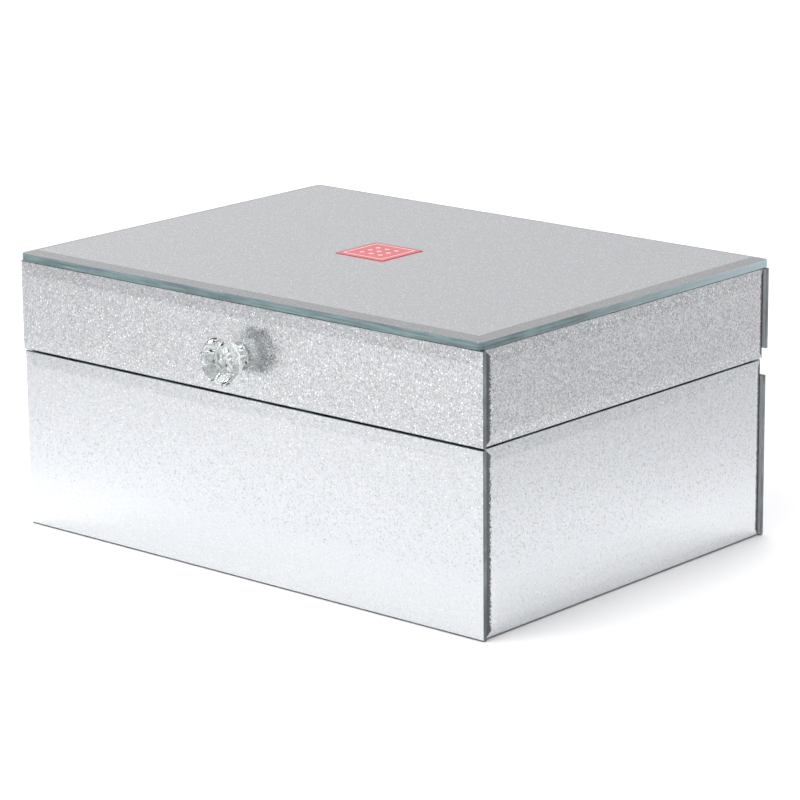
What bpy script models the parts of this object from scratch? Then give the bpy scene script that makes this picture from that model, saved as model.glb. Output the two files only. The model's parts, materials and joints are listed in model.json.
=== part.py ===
"""Hinged trinket box: fibreboard walls faced with bevelled, glitter-backed glass panes, a velvet-lined
inside with dividers and ring rolls, two small stop hinges at the back and a cut-crystal knob on the lid.

Metres, +Z up. The origin is the middle of the underside, the front is -Y and +X is to the right.
"""

import math

import bmesh
import bpy
from mathutils import Matrix, Vector

MM = 0.001

# Outside of the base, over its glass
WIDTH = 230 * MM
DEPTH = 170.5 * MM
CLEARANCE = 0.3 * MM  # glue lines and the gaps between touching pieces

# Glass panes
GLASS = 3.0 * MM
GLASS_EDGE = 1.7 * MM  # what the bevel leaves of the pane's edge
BEVEL_WIDTH = 5.0 * MM
LID_OVERHANG = 0.4 * MM
PLATE = 3.8 * MM
PLATE_EDGE = 2.8 * MM
PLATE_INSET = 0.4 * MM
PLATE_CORNER = 2.5 * MM

# Heights over the table
FELT = 1.2 * MM
BASE_GLASS_LOW = 0.4 * MM
BASE_GLASS_TOP = 69.3 * MM
BASE_BOARD_TOP = 68.6 * MM
SEAM = 70.0 * MM  # mid-height of the seam between base and lid, and the hinge axis
LID_GLASS_LOW = 70.7 * MM
LID_BOARD_LOW = 71.4 * MM
LID_TOP = 105.2 * MM
BASE_REAR_GLASS_TOP = 63.6 * MM  # the rear panes are cut back to make room for the hinges
LID_REAR_GLASS_LOW = 74.2 * MM

# Boards and lining
WALL = 7.0 * MM
FLOOR_BOARD = 5.0 * MM
TOP_BOARD = 5.0 * MM
LINING = 1.2 * MM
FLOOR_LINING = 2.0 * MM
LID_PAD = 3.5 * MM
TRIM = 0.5 * MM
DIVIDER = 3.6 * MM
DIVIDER_HEIGHT = 42 * MM
LONG_DIVIDER_Y = 6 * MM
FRONT_DIVIDER_X = 10 * MM
REAR_DIVIDER_X = -30 * MM
ROLL_COUNT = 5
ROLL_HEIGHT = 28 * MM

# Hinges
HINGE_X = 70 * MM
LEAF_WIDTH = 24 * MM
LEAF_DEPTH = 6.5 * MM
LEAF = 0.8 * MM
LEAF_OFFSET = 0.3 * MM  # from the axis' height to the near face of each leaf
LEAF_TO_BARREL = 0.4 * MM
BARREL_RADIUS = 1.8 * MM
BARREL_SIDES = 24
BORE_RADIUS = 1.0 * MM
PIN_RADIUS = 0.9 * MM
LID_KNUCKLE = 8 * MM
STOP_ANGLE = math.radians(63)  # of each stop tab, from the level line behind the barrel
STOP_REACH = 3.9 * MM
STOP_CLEAR = 2.3 * MM
JOIN = 0.05 * MM  # how much a joining piece is smaller all round than its neighbours
OVERLAP = 0.4 * MM  # how far a joining piece runs into them
SINK_RADIUS = 2.3 * MM  # of each countersink, at the face of the leaf
LEAF_HOLE_RADIUS = 1.5 * MM
SCREW_SPREAD = 8 * MM
SCREW_BACK = 5.7 * MM  # from the hinge axis forward to the screws
PILOT_RADIUS = 1.3 * MM
PILOT_DEPTH = 11 * MM
SCREW_HEAD_RADIUS = 1.95 * MM
SCREW_RADIUS = 1.0 * MM
SCREW_TIP = 2.0 * MM
SCREW_LENGTH = 9.5 * MM
SCREW_SUNK = 0.05 * MM  # how far its head lies below the leaf's face

# Knob
KNOB_Z = 85.5 * MM
KNOB_FACETS = 8
KNOB_FOOT = 5.0 * MM  # half-widths across the flats
KNOB_GIRDLE = 9.15 * MM
KNOB_TABLE = 6.6 * MM
KNOB_FLARE = 7.0 * MM  # distances out from the foot
KNOB_BAND = 10.2 * MM
KNOB_LENGTH = 14.0 * MM
KNOB_BORE_RADIUS = 1.8 * MM
KNOB_BORE_DEPTH = 5.3 * MM
KNOB_HOLE_RADIUS = 2.0 * MM
POCKET_RADIUS = 3.4 * MM
POCKET_DEPTH = 2.5 * MM
WASHER_RADIUS = 3.1 * MM
WASHER_SPACE = 1.1 * MM  # from the pocket's floor to the screw's head
KNOB_SCREW_RADIUS = 1.5 * MM
KNOB_HEAD_RADIUS = 2.9 * MM
KNOB_HEAD = 1.1 * MM

# Label and bumpers
LABEL_SIDE = 24 * MM
LABEL = 0.25 * MM
LABEL_GAP = 0.1 * MM
LABEL_AT = (-5.5 * MM, -1.0 * MM)
BUMPER_AT = (107.5 * MM, -78 * MM)
BUMPER_RADIUS = 3.0 * MM
BUMPER_HEIGHT = 0.6 * MM

# Half-sizes and levels that follow from the above, as (across, deep)
BASE_BOARD = (WIDTH / 2 - GLASS - CLEARANCE, DEPTH / 2 - GLASS - CLEARANCE)
LID_BOARD = (BASE_BOARD[0] + LID_OVERHANG, BASE_BOARD[1] + LID_OVERHANG)
BASE_FLOOR = (BASE_BOARD[0] - WALL - CLEARANCE, BASE_BOARD[1] - WALL - CLEARANCE)
LID_CEILING = (LID_BOARD[0] - WALL - CLEARANCE, LID_BOARD[1] - WALL - CLEARANCE)
BASE_INSIDE = (BASE_FLOOR[0] - LINING, BASE_FLOOR[1] - LINING)
LID_INSIDE = (LID_CEILING[0] - LINING, LID_CEILING[1] - LINING)
BOARD_LOW = FELT + CLEARANCE
FLOOR_TOP = BOARD_LOW + FLOOR_BOARD + CLEARANCE + FLOOR_LINING
INSIDE_LOW = FLOOR_TOP + CLEARANCE
LINING_TOP = LID_TOP - TOP_BOARD - CLEARANCE
PLATE_LOW = LID_TOP + CLEARANCE
HINGE_Y = LID_BOARD[1] + CLEARANCE + BARREL_RADIUS
LEAF_FRONT = -BARREL_RADIUS - LEAF_TO_BARREL - LEAF_DEPTH  # of each leaf, from the hinge axis
LEAF_REAR = LEAF_FRONT + LEAF_DEPTH

# name: (colour, roughness, metallic)
FINISHES = {
    "glitter_glass": ((0.72, 0.74, 0.76), 0.18, 0.8),
    "crystal": ((0.86, 0.91, 0.90), 0.03, 0.0),
    "fibreboard": ((0.05, 0.05, 0.055), 0.75, 0.0),
    "velvet": ((0.09, 0.09, 0.10), 0.95, 0.0),
    "felt": ((0.06, 0.06, 0.065), 1.0, 0.0),
    "nickel": ((0.74, 0.74, 0.76), 0.22, 1.0),
    "label_card": ((0.86, 0.24, 0.25), 0.45, 0.0),
    "clear_rubber": ((0.80, 0.83, 0.83), 0.35, 0.0),
}


def clear_scene():
    for thing in list(bpy.data.objects):
        bpy.data.objects.remove(thing)


def new_collection(name):
    collection = bpy.data.collections.new(name)
    bpy.context.scene.collection.children.link(collection)
    return collection


def finish(name):
    """The material of this name, made when it is first asked for."""
    if name in bpy.data.materials:
        return bpy.data.materials[name]
    colour, roughness, metallic = FINISHES[name]
    made = bpy.data.materials.new(name)
    made.use_nodes = True
    shader = made.node_tree.nodes["Principled BSDF"]
    shader.inputs["Base Color"].default_value = (*colour, 1.0)
    shader.inputs["Roughness"].default_value = roughness
    shader.inputs["Metallic"].default_value = metallic
    return made


# ---------------------------------------------------------------- shapes


def place(name, mesh, location, coat, rotation=(0.0, 0.0, 0.0)):
    """A new part, standing where it belongs in the closed box."""
    part = bpy.data.objects.new(name, mesh)
    part.location = location
    part.rotation_euler = rotation
    if not mesh.materials:
        mesh.materials.append(finish(coat))
    parts.objects.link(part)
    return part


def as_helper(shape, owner):
    """Moves a shape to the helpers, where it isn't rendered, and makes it follow the part that it shapes."""
    parts.objects.unlink(shape)
    helpers.objects.link(shape)
    shape.hide_render = True
    shape.display_type = "WIRE"
    shape.parent = owner
    shape.matrix_parent_inverse = owner.matrix_basis.inverted()
    return shape


def mesh_from(name, shape):
    mesh = bpy.data.meshes.new(name)
    bmesh.ops.recalc_face_normals(shape, faces=shape.faces)
    shape.to_mesh(mesh)
    shape.free()
    return mesh


def box(name, low, high, coat="nickel"):
    """A rectangular solid between two opposite corners."""
    low, high = Vector(low), Vector(high)
    shape = bmesh.new()
    bmesh.ops.create_cube(shape, size=1.0)
    bmesh.ops.scale(shape, vec=high - low, verts=shape.verts)
    return place(name, mesh_from(name, shape), (low + high) / 2, coat)


def slab(name, half, low, high, coat):
    """A flat solid centred on the Z axis, from its half-sizes and its two levels."""
    return box(name, (-half[0], -half[1], low), (half[0], half[1], high), coat)


def rounded(part, radius, segments=2):
    edge = part.modifiers.new("Rounded edges", "BEVEL")
    edge.width = radius
    edge.segments = segments
    part.data.shade_smooth()
    part.data.set_sharp_from_angle(angle=math.radians(40))
    return part


def cylinder(name, start, end, radius, end_radius=None, sides=BARREL_SIDES):
    """A round or tapered solid between two points."""
    start, end = Vector(start), Vector(end)
    shape = bmesh.new()
    bmesh.ops.create_cone(
        shape,
        cap_ends=True,
        segments=sides,
        radius1=radius,
        radius2=radius if end_radius is None else end_radius,
        depth=(end - start).length,
    )
    turn = (end - start).to_track_quat("Z", "Y").to_euler()
    return place(name, mesh_from(name, shape), (start + end) / 2, "nickel", turn)


def turned(name, profile, steps, coat):
    """A turned part from (radius, height) points that run down its outer side from the axis to the axis."""
    mesh = bpy.data.meshes.new(name)
    edges = [(i, i + 1) for i in range(len(profile) - 1)]
    mesh.from_pydata([(radius, 0.0, height) for radius, height in profile], edges, [])
    part = place(name, mesh, (0.0, 0.0, 0.0), coat)
    screw = part.modifiers.new("Turned", "SCREW")
    screw.steps = screw.render_steps = steps
    screw.use_merge_vertices = True
    screw.merge_threshold = 0.005 * MM
    return part


def combine(part, operation, *others):
    for other in others:
        modifier = part.modifiers.new(operation.title(), "BOOLEAN")
        modifier.operation = operation
        modifier.object = as_helper(other, part)
    return part


def baked(part):
    """The part's finished mesh, for copies to share. The part and its helpers are removed."""
    bpy.context.view_layer.update()
    others = [step.object for step in part.modifiers if step.type == "BOOLEAN"]
    mesh = bpy.data.meshes.new_from_object(
        part.evaluated_get(bpy.context.evaluated_depsgraph_get())
    )
    mesh.transform(part.matrix_world)
    mesh.name = part.name + "_shape"
    for used in [part, *others]:
        bpy.data.objects.remove(used)
    mesh.shade_smooth()
    mesh.set_sharp_from_angle(angle=math.radians(35))
    return mesh


# ---------------------------------------------------------------- glass


def pane_mesh(name, across, high, thickness, edge):
    """A pane lying flat, its back at Z = 0 and its bevelled face up."""
    shape = bmesh.new()
    bmesh.ops.create_cube(shape, size=1.0)
    bmesh.ops.scale(shape, vec=(across, high, edge), verts=shape.verts)
    bmesh.ops.translate(shape, vec=(0, 0, edge / 2), verts=shape.verts)
    face = [side for side in shape.faces if side.normal.z > 0.9]
    bmesh.ops.inset_region(
        shape, faces=face, thickness=BEVEL_WIDTH, depth=thickness - edge, use_even_offset=True
    )
    return mesh_from(name, shape)


def wall_pane(name, across, low, high, back, turn):
    """An upright pane whose back is this far from the Z axis, turned about it from facing the front."""
    mesh = pane_mesh(name, across, high - low, GLASS, GLASS_EDGE)
    heading = Matrix.Rotation(turn, 4, "Z")
    location = heading @ Vector((0, -back, (low + high) / 2))
    rotation = (heading @ Matrix.Rotation(math.radians(90), 4, "X")).to_euler()
    return place(name, mesh, location, "glitter_glass", rotation)


def wall_panes(body, board, low, high, rear_low, rear_high):
    """Four panes round a body. The front and rear ones run over the ends of the side ones."""
    across = 2 * (board[0] + CLEARANCE + GLASS)
    deep = 2 * board[1]
    back_x, back_y = board[0] + CLEARANCE, board[1] + CLEARANCE
    quarter = math.radians(90)
    return [
        wall_pane(f"{body}_front_glass", across, low, high, back_y, 0),
        wall_pane(f"{body}_right_glass", deep, low, high, back_x, quarter),
        wall_pane(f"{body}_rear_glass", across, rear_low, rear_high, back_y, 2 * quarter),
        wall_pane(f"{body}_left_glass", deep, low, high, back_x, -quarter),
    ]


def top_plate():
    half = (WIDTH / 2 + LID_OVERHANG - PLATE_INSET, DEPTH / 2 + LID_OVERHANG - PLATE_INSET)
    mesh = pane_mesh("lid_top_glass", 2 * half[0], 2 * half[1], PLATE, PLATE_EDGE)
    plate = place("lid_top_glass", mesh, (0, 0, PLATE_LOW), "glitter_glass")
    outline = slab("plate_outline", half, PLATE_LOW - PLATE, PLATE_LOW + 2 * PLATE, "nickel")
    shape = bmesh.new()
    shape.from_mesh(outline.data)
    upright = [e for e in shape.edges if abs(e.verts[0].co.z - e.verts[1].co.z) > PLATE]
    bmesh.ops.bevel(shape, geom=upright, offset=PLATE_CORNER, segments=5, profile=0.5, affect="EDGES")
    shape.to_mesh(outline.data)
    shape.free()
    return combine(plate, "INTERSECT", outline)


# ---------------------------------------------------------------- boards


def wall_boards(body, board, low, high, noun):
    """Four boards: the front and rear ones run the full width, the side ones stand between them."""
    x, y = board
    inner_x, inner_y = x - WALL, y - WALL
    side = inner_y - CLEARANCE
    return {
        "front": box(f"{body}_front_{noun}", (-x, -y, low), (x, -inner_y, high), "fibreboard"),
        "rear": box(f"{body}_rear_{noun}", (-x, inner_y, low), (x, y, high), "fibreboard"),
        "left": box(f"{body}_left_{noun}", (-x, -side, low), (-inner_x, side, high), "fibreboard"),
        "right": box(f"{body}_right_{noun}", (inner_x, -side, low), (x, side, high), "fibreboard"),
    }


def drill_for_hinges(board, level, deeper):
    """Blind pilot holes for the hinge screws, from this level down (-1) or up (+1)."""
    for name, x, y in screw_places():
        start, end = (x, y, level - deeper * MM), (x, y, level + deeper * PILOT_DEPTH)
        combine(board, "DIFFERENCE", cylinder(f"{board.name}_pilot_{name}", start, end, PILOT_RADIUS))


def ring(name, outer, inner, low, high, coat):
    """A flat or tall rectangular frame."""
    frame = slab(name, outer, low, high, coat)
    return combine(frame, "DIFFERENCE", slab(f"{name}_middle", inner, low - MM, high + MM, coat))


def notch_for_hinges(trim, low, high):
    """Cuts the rim trim away round each hinge leaf."""
    front = HINGE_Y + LEAF_FRONT - CLEARANCE
    for side in (-1, 1):
        left = side * HINGE_X - LEAF_WIDTH / 2 - CLEARANCE
        right = side * HINGE_X + LEAF_WIDTH / 2 + CLEARANCE
        cutter = box(f"{trim.name}_notch_{side}", (left, front, low), (right, HINGE_Y, high))
        combine(trim, "DIFFERENCE", cutter)


# ---------------------------------------------------------------- hinges


def screw_places():
    """(name, x, y) of each hinge screw of one body."""
    y = HINGE_Y - SCREW_BACK
    for side, word in ((-1, "left"), (1, "right")):
        for step, which in ((-1, "a"), (1, "b")):
            yield f"{word}_{which}", side * HINGE_X + step * SCREW_SPREAD, y


def radial_bar(name, left, right, near, far, thickness, angle):
    """A bar that stands out from the hinge axis at this angle."""
    bar = box(name, (left, near, -thickness / 2), (right, far, thickness / 2))
    bar.location = Matrix.Rotation(angle, 4, "X") @ bar.location
    bar.rotation_euler = (angle, 0, 0)
    return bar


def leaf_mesh(name, knuckles, up):
    """One hinge leaf about its own axis: plate, knuckles and stop tab. up is 1 for the lid's and -1 for the
    base's, and knuckles lists the (left, right) ends of each knuckle.
    """
    half = LEAF_WIDTH / 2
    near, far = sorted((up * LEAF_OFFSET, up * (LEAF_OFFSET + LEAF)))
    leaf = box(name, (-half, LEAF_FRONT, near), (half, LEAF_REAR, far))
    angle = up * STOP_ANGLE
    for i, (left, right) in enumerate(knuckles):
        # Fingers and roots are a little narrower and thinner than what they join.
        start, end = left + JOIN, right - JOIN
        finger = (start, LEAF_REAR - OVERLAP, near + JOIN), (end, 0, far - JOIN)
        root_low, root_high = BARREL_RADIUS - OVERLAP, STOP_CLEAR + OVERLAP
        root = (start, end, root_low, root_high, LEAF - 2 * JOIN)
        combine(
            leaf,
            "UNION",
            cylinder(f"{name}_barrel_{i}", (left, 0, 0), (right, 0, 0), BARREL_RADIUS),
            box(f"{name}_finger_{i}", *finger),
            radial_bar(f"{name}_root_{i}", *root, angle),
        )
    stop = radial_bar(f"{name}_stop", -half, half, STOP_CLEAR, STOP_REACH, LEAF, angle)
    combine(leaf, "UNION", stop)
    combine(leaf, "DIFFERENCE", cylinder(f"{name}_bore", (-half - MM, 0, 0), (half + MM, 0, 0), BORE_RADIUS))
    # Countersinks open on the face that the screws go in from, the one nearer the axis.
    for step in (-1, 1):
        x = step * SCREW_SPREAD
        mouth, bottom = (x, -SCREW_BACK, 0.0), (x, -SCREW_BACK, up * 2 * LEAF)
        wide = SINK_RADIUS + LEAF_OFFSET
        combine(
            leaf,
            "DIFFERENCE",
            cylinder(f"{name}_sink_{step}", mouth, bottom, wide, wide - 2 * LEAF),
            cylinder(f"{name}_hole_{step}", mouth, bottom, LEAF_HOLE_RADIUS),
        )
    return baked(leaf)


def cross_recess(name, top, depth, reach):
    """Two crossed bars that cut a screwdriver's cross into a head whose top is at this height."""
    thin = 0.28 * MM
    low = top - depth
    return (
        box(f"{name}_slot_x", (-reach, -thin, low), (reach, thin, top + MM)),
        box(f"{name}_slot_y", (-thin, -reach, low), (thin, reach, top + MM)),
    )


def hinge_screw_mesh():
    """A countersunk screw standing on its point, its head's top just below Z = 0."""
    top = -SCREW_SUNK
    neck = top - (SCREW_HEAD_RADIUS - SCREW_RADIUS)
    profile = [
        (0.0, top),
        (SCREW_HEAD_RADIUS, top),
        (SCREW_RADIUS, neck),
        (SCREW_RADIUS, SCREW_TIP - SCREW_LENGTH),
        (0.0, -SCREW_LENGTH),
    ]
    screw = turned("hinge_screw", profile, 16, "nickel")
    combine(screw, "DIFFERENCE", *cross_recess("hinge_screw", top, 0.6 * MM, 1.2 * MM))
    return baked(screw)


def pin_mesh():
    """A hinge pin upset at both ends, standing upright on the middle of its length."""
    end = LEAF_WIDTH / 2 + CLEARANCE
    head = end + 0.7 * MM
    head_radius = 1.5 * MM
    profile = [
        (0.0, head),
        (0.7 * head_radius, head),
        (head_radius, head - 0.3 * MM),
        (head_radius, end),
        (PIN_RADIUS, end),
        (PIN_RADIUS, -end),
        (head_radius, -end),
        (head_radius, -head + 0.3 * MM),
        (0.7 * head_radius, -head),
        (0.0, -head),
    ]
    return baked(turned("hinge_pin", profile, BARREL_SIDES, "nickel"))


def make_hinges():
    half, gap = LEAF_WIDTH / 2, CLEARANCE
    outer = LID_KNUCKLE / 2 + gap
    base_leaf = leaf_mesh("base_leaf", [(-half, -outer), (outer, half)], -1)
    lid_leaf = leaf_mesh("lid_leaf", [(-LID_KNUCKLE / 2, LID_KNUCKLE / 2)], 1)
    pin = pin_mesh()
    on_base, on_lid = [], []
    for side, word in ((-1, "left"), (1, "right")):
        at = (side * HINGE_X, HINGE_Y, SEAM)
        on_base.append(place(f"{word}_hinge_base_leaf", base_leaf, at, "nickel"))
        on_lid.append(place(f"{word}_hinge_lid_leaf", lid_leaf, at, "nickel"))
        on_base.append(place(f"{word}_hinge_pin", pin, at, "nickel", (0, math.radians(90), 0)))
    screw = hinge_screw_mesh()
    for name, x, y in screw_places():
        on_base.append(place(f"base_hinge_screw_{name}", screw, (x, y, SEAM - LEAF_OFFSET), "nickel"))
        upturned = (math.radians(180), 0, 0)
        on_lid.append(place(f"lid_hinge_screw_{name}", screw, (x, y, SEAM + LEAF_OFFSET), "nickel", upturned))
    return on_base, on_lid


# ---------------------------------------------------------------- base


def base_linings():
    """A padded floor and four velvet-covered cards that stand on it."""
    floor_x, floor_y = BASE_FLOOR
    in_x, in_y = BASE_INSIDE
    side = in_y - CLEARANCE
    low, high = INSIDE_LOW, BASE_BOARD_TOP
    floor = slab("base_floor_lining", BASE_FLOOR, FLOOR_TOP - FLOOR_LINING, FLOOR_TOP, "velvet")
    return [
        rounded(floor, 0.6 * MM),
        box("base_front_lining", (-floor_x, -floor_y, low), (floor_x, -in_y, high), "velvet"),
        box("base_rear_lining", (-floor_x, in_y, low), (floor_x, floor_y, high), "velvet"),
        box("base_left_lining", (-floor_x, -side, low), (-in_x, side, high), "velvet"),
        box("base_right_lining", (in_x, -side, low), (floor_x, side, high), "velvet"),
    ]


def dividers():
    """One long divider, and one short divider before and one behind it."""
    half = DIVIDER / 2
    in_x, in_y = BASE_INSIDE[0] - CLEARANCE, BASE_INSIDE[1] - CLEARANCE
    low, high = INSIDE_LOW, INSIDE_LOW + DIVIDER_HEIGHT
    front_end = LONG_DIVIDER_Y - half - CLEARANCE
    rear_end = LONG_DIVIDER_Y + half + CLEARANCE
    x, y = FRONT_DIVIDER_X, LONG_DIVIDER_Y
    made = [
        box("long_divider", (-in_x, y - half, low), (in_x, y + half, high), "velvet"),
        box("front_divider", (x - half, -in_y, low), (x + half, front_end, high), "velvet"),
    ]
    x = REAR_DIVIDER_X
    made.append(box("rear_divider", (x - half, rear_end, low), (x + half, in_y, high), "velvet"))
    return [rounded(divider, 1.0 * MM) for divider in made]


def ring_rolls():
    """Soft rolls that fill the front left compartment. Rings are pushed down between them."""
    left = -BASE_INSIDE[0] + CLEARANCE
    right = FRONT_DIVIDER_X - DIVIDER / 2 - CLEARANCE
    front = -BASE_INSIDE[1] + CLEARANCE
    rear = LONG_DIVIDER_Y - DIVIDER / 2 - CLEARANCE
    pitch = (rear - front + CLEARANCE) / ROLL_COUNT
    rolls = []
    for i in range(ROLL_COUNT):
        near = front + i * pitch
        far = near + pitch - CLEARANCE
        low, high = (left, near, INSIDE_LOW), (right, far, INSIDE_LOW + ROLL_HEIGHT)
        rolls.append(rounded(box(f"ring_roll_{i + 1}", low, high, "velvet"), 5.5 * MM, 4))
    return rolls


def bumpers():
    """Two clear stick-on buttons that the lid's front corners come down on."""
    h, r = BUMPER_HEIGHT, BUMPER_RADIUS
    profile = [(0.0, h), (0.7 * r, h), (0.93 * r, 0.7 * h), (r, 0.3 * h), (r, 0.0), (0.0, 0.0)]
    button = baked(turned("bumper", profile, 24, "clear_rubber"))
    level = BASE_BOARD_TOP + CLEARANCE + TRIM + CLEARANCE
    return [
        place(f"{word}_bumper", button, (side * BUMPER_AT[0], BUMPER_AT[1], level), "clear_rubber")
        for side, word in ((-1, "left"), (1, "right"))
    ]


def make_base():
    boards = wall_boards("base", BASE_BOARD, BOARD_LOW, BASE_BOARD_TOP, "board")
    drill_for_hinges(boards["rear"], BASE_BOARD_TOP, -1)
    floor = slab("base_floor_board", BASE_FLOOR, BOARD_LOW, BOARD_LOW + FLOOR_BOARD, "fibreboard")
    underside = (BASE_BOARD[0] - 0.7 * MM, BASE_BOARD[1] - 0.7 * MM)
    felt = slab("base_felt", underside, 0.0, FELT, "felt")
    trim_half = (BASE_BOARD[0] - CLEARANCE, BASE_BOARD[1] - CLEARANCE)
    trim_low = BASE_BOARD_TOP + CLEARANCE
    trim = ring("base_rim_trim", trim_half, BASE_INSIDE, trim_low, trim_low + TRIM, "velvet")
    notch_for_hinges(trim, trim_low - MM, trim_low + TRIM + MM)
    panes = wall_panes(
        "base", BASE_BOARD, BASE_GLASS_LOW, BASE_GLASS_TOP, BASE_GLASS_LOW, BASE_REAR_GLASS_TOP
    )
    soft = base_linings() + dividers() + ring_rolls()
    return [felt, floor, trim, *boards.values(), *panes, *soft, *bumpers()]


# ---------------------------------------------------------------- lid


def along_knob(name, start, end, radius, sides=BARREL_SIDES):
    """A cylinder on the knob's axis, between two distances in front of the Z axis."""
    return cylinder(name, (0, -start, KNOB_Z), (0, -end, KNOB_Z), radius, sides=sides)


def knob_crystal():
    """A cut crystal: a foot that flares to a straight girdle, and a crown that slopes to a flat table."""
    across = 1 / math.cos(math.pi / KNOB_FACETS)  # from half-width across flats to corner radius
    profile = [
        (0.0, KNOB_LENGTH),
        (KNOB_TABLE * across, KNOB_LENGTH),
        (KNOB_GIRDLE * across, KNOB_BAND),
        (KNOB_GIRDLE * across, KNOB_FLARE),
        (KNOB_FOOT * across, 0.0),
        (0.0, 0.0),
    ]
    crystal = turned("knob_crystal", profile, KNOB_FACETS, "crystal")
    foot = LID_BOARD[1] + CLEARANCE + GLASS + CLEARANCE
    crystal.location = (0, -foot, KNOB_Z)
    # The corners are turned half a facet, so that facets face up, down and to the sides.
    upright = Matrix.Rotation(math.radians(90), 4, "X")
    crystal.rotation_euler = (upright @ Matrix.Rotation(math.pi / KNOB_FACETS, 4, "Z")).to_euler()
    bore = along_knob("knob_bore", foot - MM, foot + KNOB_BORE_DEPTH, KNOB_BORE_RADIUS)
    return combine(crystal, "DIFFERENCE", bore)


def knob_fixings():
    """The screw that holds the knob from inside the lid's front rail, and the washer under its head."""
    pocket = LID_BOARD[1] - WALL + POCKET_DEPTH
    under_head = pocket - WASHER_SPACE
    foot = LID_BOARD[1] + CLEARANCE + GLASS + CLEARANCE
    shank = foot + KNOB_BORE_DEPTH - CLEARANCE - under_head
    radius, head_radius, head = KNOB_SCREW_RADIUS, KNOB_HEAD_RADIUS, KNOB_HEAD
    profile = [
        (0.0, head),
        (0.6 * head_radius, head),
        (0.92 * head_radius, 0.6 * head),
        (head_radius, 0.0),
        (radius, 0.0),
        (radius, 1.0 * MM - shank),
        (0.5 * radius, -shank),
        (0.0, -shank),
    ]
    screw = turned("knob_screw", profile, 20, "nickel")
    combine(screw, "DIFFERENCE", *cross_recess("knob_screw", head, 0.8 * MM, 1.5 * MM))
    screw_mesh = baked(screw)
    inward = (math.radians(-90), 0, 0)
    screw = place("knob_screw", screw_mesh, (0, -under_head, KNOB_Z), "nickel", inward)
    washer = along_knob("knob_washer", under_head + CLEARANCE, pocket - CLEARANCE, WASHER_RADIUS)
    hole = along_knob("washer_hole", under_head - MM, pocket + MM, KNOB_SCREW_RADIUS + CLEARANCE)
    return [screw, combine(washer, "DIFFERENCE", hole)]


def make_lid():
    rails = wall_boards("lid", LID_BOARD, LID_BOARD_LOW, LID_TOP, "rail")
    drill_for_hinges(rails["rear"], LID_BOARD_LOW, 1)
    inner = LID_BOARD[1] - WALL
    combine(
        rails["front"],
        "DIFFERENCE",
        along_knob("rail_pocket", inner - MM, inner + POCKET_DEPTH, POCKET_RADIUS),
        along_knob("rail_hole", inner, LID_BOARD[1] + MM, KNOB_HOLE_RADIUS),
    )
    board = slab("lid_top_board", LID_CEILING, LID_TOP - TOP_BOARD, LID_TOP, "fibreboard")
    panes = wall_panes("lid", LID_BOARD, LID_GLASS_LOW, LID_TOP, LID_REAR_GLASS_LOW, LID_TOP)
    glass_hole = along_knob("glass_hole", LID_BOARD[1] - MM, LID_BOARD[1] + 2 * GLASS, KNOB_HOLE_RADIUS)
    combine(panes[0], "DIFFERENCE", glass_hole)
    lining = ring("lid_side_lining", LID_CEILING, LID_INSIDE, LID_BOARD_LOW, LINING_TOP, "velvet")
    pad_half = (LID_INSIDE[0] - CLEARANCE, LID_INSIDE[1] - CLEARANCE)
    pad = rounded(slab("lid_pad", pad_half, LINING_TOP - LID_PAD, LINING_TOP, "velvet"), MM)
    trim_half = (LID_BOARD[0] - CLEARANCE, LID_BOARD[1] - CLEARANCE)
    trim_top = LID_BOARD_LOW - CLEARANCE
    trim = ring("lid_rim_trim", trim_half, LID_INSIDE, trim_top - TRIM, trim_top, "velvet")
    notch_for_hinges(trim, trim_top - TRIM - MM, trim_top + MM)
    plate = top_plate()
    x, y = LABEL_AT
    half, low = LABEL_SIDE / 2, PLATE_LOW + PLATE + LABEL_GAP
    label = box("top_label", (x - half, y - half, low), (x + half, y + half, low + LABEL), "label_card")
    knob = [knob_crystal(), *knob_fixings()]
    return [*rails.values(), board, *panes, lining, pad, trim, plate, label, *knob]


def hang_on(axis_name, location, pieces):
    """Parents the pieces to an empty that stands on their joint's axis, leaving them where they are."""
    axis = bpy.data.objects.new(axis_name, None)
    axis.location = location
    axis.empty_display_size = 20 * MM
    parts.objects.link(axis)
    bpy.context.view_layer.update()
    for piece in pieces:
        piece.parent = axis
        piece.matrix_parent_inverse = axis.matrix_world.inverted()


clear_scene()
parts = new_collection("trinket_box")
helpers = new_collection("helpers")
base_pieces = make_base()
lid_pieces = make_lid()
hinge_on_base, hinge_on_lid = make_hinges()
hang_on("base_origin", (0, 0, 0), base_pieces + hinge_on_base)
hang_on("lid_axis", (0, HINGE_Y, SEAM), lid_pieces + hinge_on_lid)
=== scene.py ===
"""The looks of the hinged trinket box: bevelled panes over silver glitter, a cut-crystal knob, a printed
label and a velvet inside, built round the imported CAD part.
"""

import json
import math

import bmesh
import bpy
from mathutils import Matrix, Vector, noise

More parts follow.
